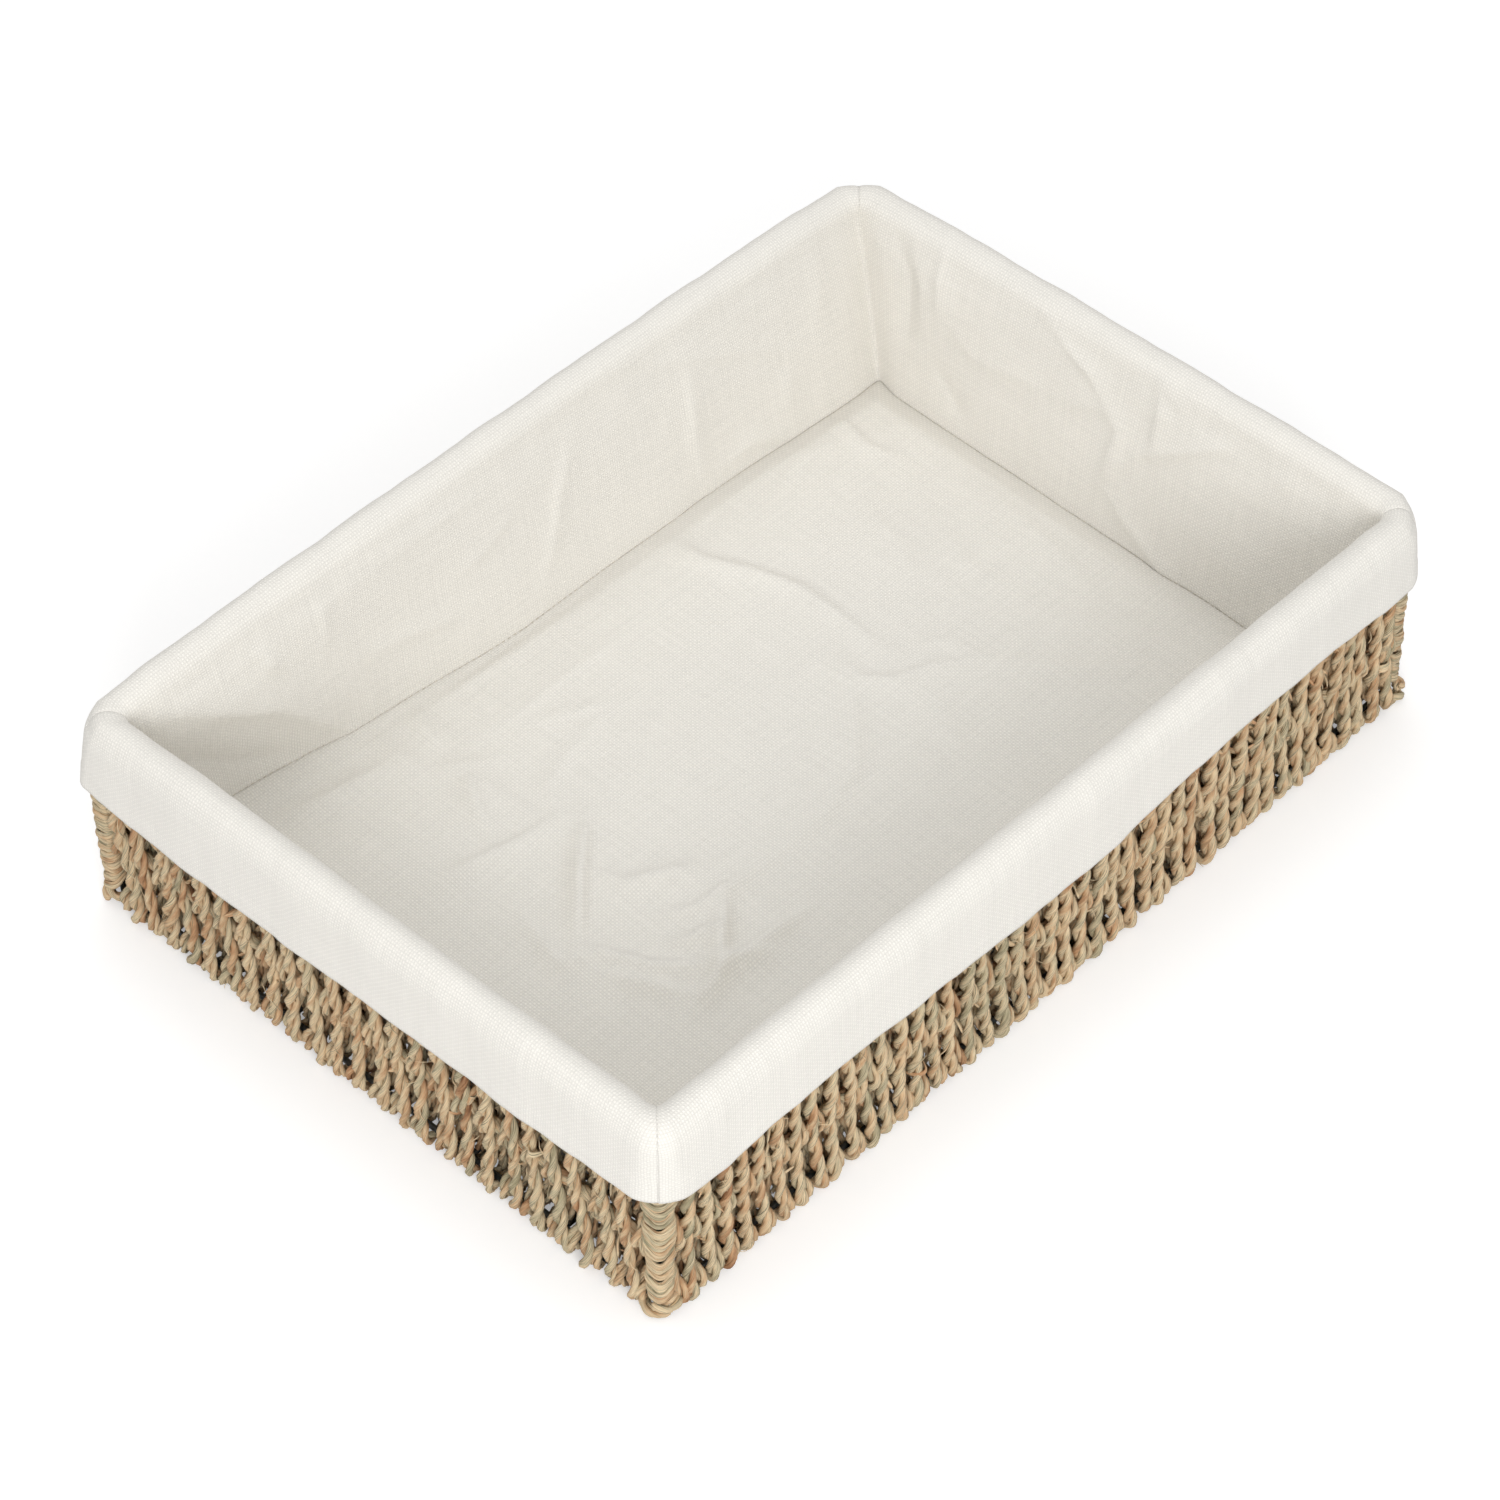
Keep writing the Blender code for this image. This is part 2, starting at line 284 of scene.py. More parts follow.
def through(points, steps):
    """A smooth path through a few points, with a chosen step between samples on each stretch."""
    points = np.array(points, float)
    padded = np.vstack([2 * points[0] - points[1], points, 2 * points[-1] - points[-2]])
    path = [points[0]]
    for i in range(len(points) - 1):
        a, b, c, d = padded[i:i + 4]
        count = max(1, int(round(np.linalg.norm(c - b) / steps[i])))
        for t in np.linspace(0, 1, count + 1)[1:]:
            path.append(0.5 * ((2 * b) + (c - a) * t + (2 * a - 5 * b + 4 * c - d) * t ** 2
                               + (3 * b - a - 3 * c + d) * t ** 3))
    return np.array(path)


def lengths_along(path):
    """The length of a path up to each of its points."""
    return np.concatenate([[0], np.cumsum(np.linalg.norm(np.diff(path, axis=0), axis=1))])


def axes_along(path, across):
    """At each point of a path: the direction nearest across, the one square to it, and the length so far."""
    tangent = np.gradient(path, axis=0)
    tangent /= np.linalg.norm(tangent, axis=1, keepdims=True)
    side = across - np.sum(across * tangent, axis=1, keepdims=True) * tangent
    side /= np.linalg.norm(side, axis=1, keepdims=True)
    return side, np.cross(tangent, side), lengths_along(path)


class Strands:
    """Collects the plies of many ropes into one mesh."""

    def __init__(self):
        self.places, self.faces, self.along, self.tones, self.count = [], [], [], [], 0

    def add_ply(self, path, axes, a, b, radii, start, tone):
        """One tube along a path, with its ends drawn together. a and b place its outline along the path's two
        cross directions; radii and start give each point its own place round and along the strand."""
        side, face, length = axes
        rings = path[:, None, :] + a[..., None] * side[:, None, :] + b[..., None] * face[:, None, :]
        steps, sides = rings.shape[:2]
        around = np.linspace(0, math.tau, sides, endpoint=False)
        along = np.empty(rings.shape)
        along[..., 0] = radii[0] * np.cos(around)
        along[..., 1] = radii[1] * np.sin(around)
        along[..., 2] = length[:, None] + start
        rings[..., 2] = np.maximum(rings[..., 2], 0.0002)
        for end in (0, -1):
            middle = rings[end].mean(axis=0)
            rings[end] = middle + (rings[end] - middle) * 0.15
        index = np.arange(steps * sides).reshape(steps, sides) + self.count
        turned = np.roll(index, -1, axis=1)
        quads = np.stack([index[:-1], turned[:-1], turned[1:], index[1:]], axis=-1).reshape(-1, 4)
        self.faces.extend(quads.tolist())
        self.faces.append(index[0][::-1].tolist())
        self.faces.append(index[-1].tolist())
        self.places.append(rings.reshape(-1, 3))
        self.along.append(along.reshape(-1, 3))
        self.tones.append(np.repeat(tone, sides))
        self.count += steps * sides

    def make(self, name, material):
        """The finished mesh object, with each point's place along its strand and its tone."""
        mesh = bpy.data.meshes.new(name)
        mesh.from_pydata(np.concatenate(self.places).tolist(), [], self.faces)
        strand = mesh.attributes.new("strand", "FLOAT_VECTOR", "POINT")
        strand.data.foreach_set("vector", np.concatenate(self.along).astype(np.float32).ravel())
        tone = mesh.attributes.new("tone", "FLOAT", "POINT")
        tone.data.foreach_set("value", np.concatenate(self.tones).astype(np.float32))
        mesh.materials.append(material)
        mesh.shade_smooth()
        return place_object(name, mesh)


def lay_rope(strands, path, across, rng, radius, lay=ROPE_LAY, flat=1.0, narrow=1.0, sides=PLY_SIDES):
    """Two plies twisted right-handed round a path. flat and narrow squeeze the rope where it is pressed."""
    count = len(path)
    flat, narrow = (np.broadcast_to(squeeze, count)[:, None] for squeeze in (flat, narrow))
    axes = axes_along(path, across)
    length = axes[2]
    twist = rng.uniform(0, math.tau) + math.tau * length / lay + wandering(rng, count, 6, 0.35)
    thick = radius * (1 + wandering(rng, count, 8, 0.06))
    around = np.linspace(0, math.tau, sides, endpoint=False)
    for ply in (0, 1):
        turn = (twist + math.pi * ply)[:, None]
        ply_thick = (thick * (1 + wandering(rng, count, 9, 0.07)))[:, None]
        leaf_folds = 1 + 0.09 * np.cos(3 * around[None, :] + rng.uniform(0, 6) + 160 * length[:, None]) \
            + 0.05 * np.cos(5 * around[None, :] + rng.uniform(0, 6) - 90 * length[:, None])
        out = ply_thick * (0.49 + 0.51 * leaf_folds * np.cos(around)[None, :])
        aside = ply_thick * 0.58 * leaf_folds * np.sin(around)[None, :]
        a = (out * np.cos(turn) - aside * np.sin(turn)) * narrow
        b = (out * np.sin(turn) + aside * np.cos(turn)) * flat
        strands.add_ply(path, axes, a, b, (radius, radius), rng.uniform(0, 9),
                        strand_tone(rng) + wandering(rng, count, 7, 0.05))


def lay_cord(strands, path, across, rng, radius, lay, tones, flat):
    """Several thin leaves, loosely twisted and pressed flat, along a path."""
    axes = axes_along(path, across)
    count = len(path)
    twist = math.tau * axes[2] / lay + wandering(rng, count, 60, 0.5)
    around = np.linspace(0, math.tau, 7, endpoint=False)
    for ply, tone in enumerate(tones):
        turn = (twist + math.tau * ply / len(tones))[:, None]
        thick = radius * (1 + wandering(rng, count, 90, 0.12))[:, None]
        out = thick * (0.55 + 0.42 * np.cos(around)[None, :])
        aside = thick * 0.50 * np.sin(around)[None, :]
        a = out * np.cos(turn) - aside * np.sin(turn)
        b = (out * np.sin(turn) + aside * np.cos(turn)) * flat
        strands.add_ply(path, axes, a, b, (radius, radius), rng.uniform(0, 9),
                        tone + wandering(rng, count, 50, 0.10))


def near(z, centre, reach):
    """A smooth hump, 1 at centre and falling away over reach."""
    return np.exp(-(((z - centre) / reach) ** 2))


def wall_run(origin, along, out):
    """A wall's middle on the table, its direction and its outward direction."""
    return np.array([*origin, 0.0]), np.array([*along, 0.0]), np.array([*out, 0.0])


def wall_place(run, s, d, z):
    """A point on a wall: s along it, d out from the middle of the weave, z up."""
    origin, along, out = run
    return origin + s * along + d * out + np.array([0, 0, 1.0]) * z


def rim_tuck(s, half_run):
    """How far a rope is drawn in at the rim, so that near a corner it stays under the cloth."""
    return TUCKED_IN * min(1.0, max(0.0, (abs(s) - half_run + 0.045) / 0.030))


def outer_rope(strands, run, s, lean, tuck, rng):
    """A rope that climbs the outside of the wall and turns over the rim wire."""
    under = BASE_WIRE_Z - WIRE_RADIUS - UNDER_DROP + rng.uniform(-0.0002, 0.0005)
    sway = rng.normal(0, 0.0007, 4)
    front = 0.0038 + rng.uniform(-0.0003, 0.0004)
    kick = rng.uniform(0.0004, 0.0022)
    stops = [
        (sway[0], -0.0110, under + 0.0010), (sway[0], -0.0050, under + 0.0004), (sway[0], 0.0006, under),
        (sway[0], 0.0030 + kick, under + 0.0012), (sway[1], front + kick * 0.8, under + 0.0050),
        (sway[1], front + 0.0002, 0.0200), (sway[2], front - 0.0004, RING_ZS[0]),
        (sway[2], front + 0.0002, 0.0550), (sway[3], front - 0.0005, RING_ZS[1]),
        (sway[3], 0.0034 - tuck / 2, 0.0900), (0, 0.0033 - tuck, RIM_WIRE_Z),
        (0, 0, RIM_WIRE_Z + 0.0034 - tuck), (0, -0.0033, RIM_WIRE_Z), (0, -0.0030, 0.0960),
        (0, -0.0010, 0.0900),
    ]
    steps = [HIDDEN_STEP] * 2 + [SHOWN_STEP] * 6 + [HIDDEN_STEP] * 2 + [SHOWN_STEP] * 2 + [HIDDEN_STEP] * 2
    path = through([wall_place(run, s + ds + lean * (z - 0.03), d, z) for ds, d, z in stops], steps)
    z = path[:, 2]
    flat = 1 - 0.20 * near(z, 0, 0.006) - 0.10 * near(z, RING_ZS[0], 0.006) - 0.22 * near(z, 0.110, 0.006)
    narrow = 1 - 0.10 * near(z, RING_ZS[0], 0.006) + 0.05 * near(z, 0, 0.006)
    lay_rope(strands, path, run[1], rng, ROPE_RADIUS * rng.uniform(0.93, 1.06),
             ROPE_LAY * rng.uniform(0.85, 1.15), flat, narrow)


def inner_rope(strands, run, s, lean, tuck, at_corner, rng):
    """A rope that comes down the inside and steps out at each ring. At a corner it starts below the rim."""
    under = BASE_WIRE_Z - WIRE_RADIUS - UNDER_DROP + rng.uniform(-0.0002, 0.0005)
    sway = rng.normal(0, 0.0005, 6)
    stops = [(0, 0.0026 - tuck / 2, RIM_WIRE_Z - 0.0060), (0, 0.0036 - tuck / 2, RIM_WIRE_Z),
             (0, 0, RIM_WIRE_Z + 0.0033 - tuck), (0, BACK, RIM_WIRE_Z), (0, BACK, 0.0960),
             (sway[0], BACK, 0.0840)]
    if at_corner:
        stops = stops[4:]
    for ring, aside in zip(reversed(RING_ZS), sway[1:3]):
        stops += [(aside, -0.0012, ring + 0.0085), (aside, FORWARD, ring + rng.uniform(-0.001, 0.001)),
                  (aside, -0.0012, ring - 0.0085), (sway[3], BACK, ring - 0.0160)]
    stops += [(sway[4], -0.0010, BASE_WIRE_Z + 0.0085), (sway[4], 0.0034, BASE_WIRE_Z + 0.0030),
              (sway[4], 0.0040, BASE_WIRE_Z - 0.0010), (sway[4], 0.0006, under),
              (sway[5], -0.0050, under + 0.0004), (sway[5], -0.0110, under + 0.0010)]
    steps = [HIDDEN_STEP] * 5 + [SHOWN_STEP * 1.2] * 8 + [HIDDEN_STEP] * 2
    if not at_corner:
        steps = [SHOWN_STEP] * 4 + steps
    path = through([wall_place(run, s + ds + lean * (z - 0.03), d, z) for ds, d, z in stops], steps)
    z = path[:, 2]
    pressed = near(z, RING_ZS[0], 0.006) + near(z, RING_ZS[1], 0.006)
    flat = 1 - 0.15 * pressed - 0.20 * near(z, 0, 0.006)
    narrow = 1 - 0.22 * pressed - 0.06 * near(z, 0, 0.010)
    lay_rope(strands, path, run[1], rng, ROPE_RADIUS * rng.uniform(0.88, 1.0),
             ROPE_LAY * rng.uniform(0.8, 1.1), flat, narrow)


def lining_rope(strands, run, s, rng):
    """One of the straight ropes that stand close together behind the wires."""
    stops = [(-0.0046, 0.0038), (-0.0050, 0.0250), (-0.0048, 0.0600), (-0.0042, 0.0930)]
    points = [wall_place(run, s + rng.normal(0, 0.0003), d, z) for d, z in stops]
    path = through(points, [HIDDEN_STEP * 1.4] * 3)
    lay_rope(strands, path, run[1], rng, LINING_RADIUS, flat=0.80, sides=6)


def side_ropes(side, origin, along, out, count, seed):
    """All the ropes of one wall, as an outer and an inner piece, and its bound cords as a third."""
    rng = np.random.default_rng(seed)
    run = wall_run(origin, along, out)
    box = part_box("side_weave_" + side)
    half_run = abs(np.dot(np.array(box[1]) - np.array(box[0]), run[1])) / 2
    pitch = 2 * half_run / count
    outer, inner, ring_cords = Strands(), Strands(), Strands()
    for i in range(count):
        s = -half_run + pitch * (i + 0.5)
        outer_rope(outer, run, s + rng.normal(0, 0.0005), rng.normal(-0.05, 0.04), rim_tuck(s, half_run), rng)
    for i in range(count + 1):
        s = np.clip(-half_run + pitch * i, -half_run + 0.0008, half_run - 0.0008)
        inner_rope(inner, run, s + rng.normal(0, 0.0003), rng.normal(-0.03, 0.03), rim_tuck(s, half_run),
                   i < 2 or i > count - 2, rng)
    for i in range(2 * count):
        lining_rope(inner, run, -half_run + pitch * (i + 0.5) / 2, rng)
    for height in (*RING_ZS, CUFF_CORD_Z):
        s = np.linspace(-half_run, half_run, int(2 * half_run / 0.0022))
        path = np.array([wall_place(run, at, 0.0002, height) for at in s])
        path[:, 2] += wandering(rng, len(s), 24, 0.0003)
        lay_cord(ring_cords, path, np.array([0.0, 0.0, 1.0]), rng, RING_CORD_RADIUS, RING_CORD_LAY,
                 [rng.uniform(0.34, 0.76) for _ in range(5)], 0.9)
    for piece in (outer.make(side + "_outer_ropes", seagrass), inner.make(side + "_inner_ropes", seagrass)):
        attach(piece, "basket")
        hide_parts("side_weave_" + side)
    cord_piece = ring_cords.make(side + "_ring_cords", seagrass)
    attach(cord_piece, "basket")


side_ropes("front", (0, -WALL_Y), (1, 0), (0, -1), 44, 11)
side_ropes("back", (0, WALL_Y), (-1, 0), (0, 1), 44, 12)
side_ropes("left", (-WALL_X, 0), (0, -1), (-1, 0), 24, 13)
side_ropes("right", (WALL_X, 0), (0, 1), (1, 0), 24, 14)


# ---- Corner wraps ----
# Each corner post is bound together with the last ropes of the two walls by a thin cord of several leaves,
# wound round in close level turns from the table to the rim. Two short rope loops finish it at the foot.
WRAP_PITCH = 0.0037
WRAP_FOOT, WRAP_TOP = 0.0100, 0.1010
WRAP_RADIUS = 0.0022
WRAP_LAY = 0.055
WRAP_ROUNDING = 0.62
PER_TURN = 36
LOOP_POINTS = 22


def wrap_outline():
    """Steps once round a rounded square of half-width 1, starting on its inner side."""
    straight = 1 - WRAP_ROUNDING
    length = 8 * straight + math.tau * WRAP_ROUNDING
    points = []
    for at in np.linspace(0, length, PER_TURN, endpoint=False):
        side, rest = divmod(at, 2 * straight + math.pi / 2 * WRAP_ROUNDING)
        if rest < 2 * straight:
            x, y = 1, rest - straight
        else:
            turn = (rest - 2 * straight) / WRAP_ROUNDING
            x, y = straight + WRAP_ROUNDING * math.cos(turn), straight + WRAP_ROUNDING * math.sin(turn)
        c, n = math.cos(side * math.pi / 2), math.sin(side * math.pi / 2)
        points.append((x * c - y * n, x * n + y * c))
    return np.array(points)


def corner_wrap(corner, facing_x, facing_y, drawn_in, seed):
    """The binding of one corner, with the rope loops that finish it at the foot."""
    rng = np.random.default_rng(seed)
    strands = Strands()
    turns = int((WRAP_TOP - WRAP_FOOT) / WRAP_PITCH)
    heights = np.linspace(WRAP_FOOT, WRAP_TOP, turns * PER_TURN)
    outer = np.interp(heights, [0, 0.020, 0.045, 0.075, 0.085, 0.100],
                      [0.0032, 0.0036, 0.0042, 0.0038, 0.0016, -0.0015])
    outer = outer - drawn_in * np.interp(heights, [0.010, 0.050], [0.4, 1.0])
    inner = np.interp(heights, [0, 0.020, 0.045, 0.075, 0.100], [0.0030, 0.0036, 0.0050, 0.0056, 0.0050])
    half, shift = (outer + inner) / 2, (inner - outer) / 2
    slack = np.repeat(rng.normal(0, 0.00028, turns), PER_TURN)
    slack = np.convolve(slack, np.ones(PER_TURN // 3) / (PER_TURN // 3), "same")
    unit = np.tile(wrap_outline(), (turns, 1))
    toward_corner = unit[:, 0] * facing_x + unit[:, 1] * facing_y
    sag = -0.0008 * toward_corner * np.repeat(rng.uniform(0, 2.6, turns), PER_TURN)
    wander = wandering(rng, len(heights), turns * 2, 0.0004)
    path = np.empty((len(heights), 3))
    path[:, 0] = facing_x * (WALL_X - shift) + unit[:, 0] * (half + slack)
    path[:, 1] = facing_y * (WALL_Y - shift) + unit[:, 1] * (half + slack)
    path[:, 2] = heights + sag + wander
    upright = np.array([0.0, 0.0, 1.0])
    tones = [rng.uniform(0.25, 0.62) for _ in range(4)]
    lay_cord(strands, path, upright, rng, WRAP_RADIUS, WRAP_LAY, tones, 0.55)
    for start, end, rise in ((-2.3, 0.7, 0.0034), (-0.6, 2.4, 0.0072)):
        turn = np.linspace(start, end, LOOP_POINTS) + math.atan2(facing_y, facing_x)
        loop = np.empty((LOOP_POINTS, 3))
        loop[:, 0] = facing_x * (WALL_X - 0.0018) + 0.0062 * np.cos(turn)
        loop[:, 1] = facing_y * (WALL_Y - 0.0018) + 0.0062 * np.sin(turn)
        loop[:, 2] = rise + wandering(rng, LOOP_POINTS, 4, 0.0005)
        lay_rope(strands, loop, upright, rng, 0.0028, lay=0.026, narrow=0.95)
    piece = strands.make("corner_wrap_rope_" + corner, seagrass)
    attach(piece, "basket")
    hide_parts("corner_wrap_" + corner)


corner_wrap("front_left", -1, -1, 0.0, 21)
corner_wrap("front_right", 1, -1, 0.003, 22)
corner_wrap("back_right", 1, 1, 0.0, 23)
corner_wrap("back_left", -1, 1, 0.0, 24)


# ---- Base weave ----
# The side ropes carry on across the base: each runs from one long side to the other, over and under the five
# base ribs in turn, with its neighbour the other way round.
BASE_ROPE_RADIUS = 0.0035
BASE_ROPE_LAY = 0.026
BASE_ROPE_FLAT = 0.85
BASE_ROPES = 84


def base_weave():
    """The ropes across the base, as one piece."""
    rng = np.random.default_rng(31)
    strands = Strands()
    low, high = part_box("base_weave")
    rib_ys = [float(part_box(f"base_rib_{i}")[0][1] + WIRE_RADIUS) for i in (1, 2)]
    middle = (low[2] + high[2]) / 2
    lift = (high[2] - low[2]) / 2 - BASE_ROPE_RADIUS * BASE_ROPE_FLAT
    half_run = high[0] - 0.0025
    ys = np.arange(low[1] + 0.0012, high[1] - 0.0008, 0.0036)
    for i in range(BASE_ROPES):
        x = -half_run + 2 * half_run * i / (BASE_ROPES - 1) + rng.normal(0, 0.0003)
        way = 1 if i % 2 else -1
        path = np.empty((len(ys), 3))
        path[:, 0] = x + wandering(rng, len(ys), 6, 0.0005)
        path[:, 1] = ys
        path[:, 2] = middle + way * lift * np.cos(math.pi * (ys - rib_ys[0]) / (rib_ys[1] - rib_ys[0]))
        lay_rope(strands, path, np.array([1.0, 0.0, 0.0]), rng, BASE_ROPE_RADIUS, BASE_ROPE_LAY,
                 flat=BASE_ROPE_FLAT, sides=6)
    piece = strands.make("base_ropes", seagrass)
    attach(piece, "basket")
    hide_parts("base_weave")


base_weave()


# ---- Loose ends and fibres ----
# Dried leaf frays: fine fibres stand off the ropes everywhere, torn bits of leaf stick out between them, and
# here and there a spare end is wound round a rope.
HAIRS_PER_METRE = 330
LEAF_BITS_PER_METRE = 420
WOUND_ENDS_PER_METRE = 12
LEAF_BIT_ZS = [0.026, 0.030, 0.050, 0.060, 0.064, 0.067]


def leaf_blade(strands, path, facing, rng, wide, thick, tone, sides):
    """One flat strip of leaf along a path, its broad side toward facing."""
    tangent = np.gradient(path, axis=0)
    tangent /= np.linalg.norm(tangent, axis=1, keepdims=True)
    side = np.cross(tangent, facing)
    side /= np.linalg.norm(side, axis=1, keepdims=True) + 1e-9
    around = np.linspace(0, math.tau, sides, endpoint=False)
    fade = np.interp(np.linspace(0, 1, len(path)), [0, 0.6, 1], [1, 1, 0.5])[:, None]
    strands.add_ply(path, (side, np.cross(side, tangent), lengths_along(path)), fade * wide * np.cos(around),
                    fade * thick * np.sin(around), (wide, thick), rng.uniform(0, 9), np.full(len(path), tone))


def loose_ends():
    """Cut ends and hair-thin fibres, as one piece."""
    rng = np.random.default_rng(41)
    strands = Strands()
    runs = [((0, -WALL_Y), (1, 0), (0, -1), WALL_X - 0.010), ((0, WALL_Y), (-1, 0), (0, 1), WALL_X - 0.010),
            ((-WALL_X, 0), (0, -1), (-1, 0), WALL_Y - 0.010), ((WALL_X, 0), (0, 1), (1, 0), WALL_Y - 0.010)]
    for origin, along, out, reach in runs:
        run = wall_run(origin, along, out)

        def blade(stops, step, wide, thick, tone, sides):
            path = through([wall_place(run, *stop) for stop in stops], [step] * (len(stops) - 1))
            leaf_blade(strands, path, run[2], rng, wide, thick, tone, sides)

        for _ in range(int(reach * HAIRS_PER_METRE)):
            s, z = rng.uniform(-reach, reach), rng.uniform(0.006, 0.072)
            slant, rise = rng.normal(0, 0.006), rng.uniform(-0.012, 0.012)
            thick = rng.uniform(0.00012, 0.00025)
            bow = rng.uniform(0.0002, 0.0016)
            blade([(s, 0.0052, z), (s + slant / 2, 0.0058 + bow, z + rise / 2),
                   (s + slant, 0.0056, z + rise)], 0.0016, thick, thick, rng.uniform(0.3, 0.6), 4)
        for _ in range(int(reach * LEAF_BITS_PER_METRE)):
            s, z = rng.uniform(-reach, reach), rng.choice(LEAF_BIT_ZS)
            slant, drop = rng.normal(0, 0.004), rng.uniform(-0.005, 0.003)
            blade([(s, -0.002, z + 0.002), (s + slant * 0.4, 0.002, z), (s + slant, 0.0048, z + drop)],
                  0.0012, rng.uniform(0.0006, 0.0014), 0.0005, rng.uniform(0.35, 0.72), 7)
        for _ in range(int(reach * WOUND_ENDS_PER_METRE)):
            s, z = rng.uniform(-reach, reach), rng.uniform(0.016, 0.062)
            way, tone = rng.choice([-1, 1]), strand_tone(rng)
            for turn in range(rng.integers(1, 4)):
                at = z + 0.0021 * turn
                blade([(s - way * 0.0042, 0.0005, at), (s - way * 0.0026, 0.0052, at + 0.0008),
                       (s + way * 0.0010, 0.0070, at + 0.0016), (s + way * 0.0042, 0.0020, at + 0.0022)],
                      0.0011, rng.uniform(0.0012, 0.0018), 0.0006, tone, 7)
    piece = strands.make("loose_fibres", seagrass)
    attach(piece, "basket")


loose_ends()


# ---- Unbleached cotton ----
# The finish of the liner: a plain-woven canvas whose threads are a little uneven, off-white with a warm cast.
# Each point of a panel carries its place across and along the cut cloth, so the threads follow the folds.
# The colour is lighter on the thread crowns and darker in the dips between threads, which is painted shade;
# the slubs added to it are the threads' real unevenness.
THREAD_SPACING = 0.00125
THREAD_DRIFT = 0.0012
UNBLEACHED = (0.91, 0.882, 0.822, 1)
SLUB_STRETCHES = ((30.0, 700.0, 30.0), (700.0, 30.0, 30.0))

plain_weave, weave_in, weave_out = new_group("plain weave", {"Thread spacing": THREAD_SPACING},
                                             ("Height", "Shade"))
cut_place = node(plain_weave, "Attribute", {}, attribute_name="thread")["Vector"]
drift = node(plain_weave, "TexNoise", {"Vector": cut_place, "Scale": 90.0, "Detail": 1.0})["Color"]
split_place = node(plain_weave, "SeparateXYZ", {"Vector": cut_place})
split_drift = node(plain_weave, "SeparateColor", {"Color": drift})
waves, slubs = [], []
for axis, colour in (("X", "Red"), ("Y", "Green")):
    moved = maths(plain_weave, "MULTIPLY_ADD", split_drift[colour], THREAD_DRIFT, split_place[axis])
    counted = maths(plain_weave, "DIVIDE", moved, weave_in["Thread spacing"])
    waves.append(maths(plain_weave, "SINE", maths(plain_weave, "MULTIPLY", counted, math.pi)))
crossing = maths(plain_weave, "MULTIPLY", *waves)
crown = maths(plain_weave, "POWER", maths(plain_weave, "ABSOLUTE", crossing), 0.9)
over = maths(plain_weave, "MULTIPLY_ADD", maths(plain_weave, "SIGN", crossing), 0.26, 0.74)
thread_height = maths(plain_weave, "MULTIPLY", crown, over)
for stretch in SLUB_STRETCHES:
    stretched = node(plain_weave, "Mapping", {"Vector": cut_place, "Scale": stretch})["Vector"]
    slubs.append(node(plain_weave, "TexNoise", {"Vector": stretched, "Scale": 1.0, "Detail": 2.0})["Fac"])
uneven = maths(plain_weave, "MULTIPLY_ADD", maths(plain_weave, "ADD", *slubs), 0.10, -0.10)
# Painted shade: the cloth colour is darkened in the dips between threads and lightened on their crowns.
painted_thread_shade = maths(plain_weave, "MULTIPLY_ADD", thread_height, 0.22, 0.83)
feed(plain_weave, weave_out, {"Height": thread_height,
                              "Shade": maths(plain_weave, "ADD", painted_thread_shade, uneven, clamp=True)})

cotton, cotton_tree, cotton_shader = new_paint("cotton")
weave = node(cotton_tree, "Group", {"Thread spacing": THREAD_SPACING}, node_tree=plain_weave)
weave_bump = node(cotton_tree, "Bump", {"Height": weave["Height"], "Strength": 0.7, "Distance": 0.0003})
# The base colour carries the weave's painted thread shade together with the real slubs.
feed(cotton_tree, cotton_shader, {
    "Base Color": multiplied(cotton_tree, UNBLEACHED, weave["Shade"]), "Normal": weave_bump["Normal"],
    "Roughness": 0.92, "Specular IOR Level": 0.15, "Sheen Weight": 0.15})


# ---- Liner walls ----
# Four panels of the canvas, cut on the slant at their ends and sewn together at the corners. Each is one sheet
# that starts at the floor seam, climbs the inside of the weave, turns over the rim and hangs down outside as a
# cuff. The cloth is soft and was folded flat for packing, which left its creases.
CLOTH_THICKNESS = 0.0009
GRID = 0.00155
ROLL_RADIUS = 0.0079
ROLL_Z = 0.1045
OUTER_DROP = 0.0135
FOOT_IN = 0.0190
FOOT_Z = 0.0136
HEM_OUT = 0.0084
CREASE_DEPTH = 1.5
ROLL_START = 0.089
CREST = 0.112
ROLL_END = 0.113
CUFF_START = 0.108
MITRE = math.pi / 4
MITRE_STEPS = 9


def section():
    """Stations up the inside wall, over the rim and down the cuff: place outward, height and length so far."""
    points = [(-FOOT_IN, FOOT_Z), (-0.0156, 0.045), (-0.0116, 0.080), (-0.0086, 0.0985)]
    for turn in np.linspace(math.radians(170), 0, 18):
        tall = ROLL_RADIUS if turn > math.pi / 2 else OUTER_DROP
        points.append((ROLL_RADIUS * math.cos(turn), ROLL_Z + ROLL_RADIUS - tall * (1 - math.sin(turn))))
    points += [(ROLL_RADIUS + 0.0001, 0.0940), (ROLL_RADIUS + 0.0003, 0.0860), (HEM_OUT - 0.0001, 0.0780),
               (HEM_OUT, HEM_Z)]
    points = np.array(points)
    lengths = lengths_along(points)
    at = np.linspace(0, lengths[-1], int(lengths[-1] / GRID))
    return np.interp(at, lengths, points[:, 0]), np.interp(at, lengths, points[:, 1]), at


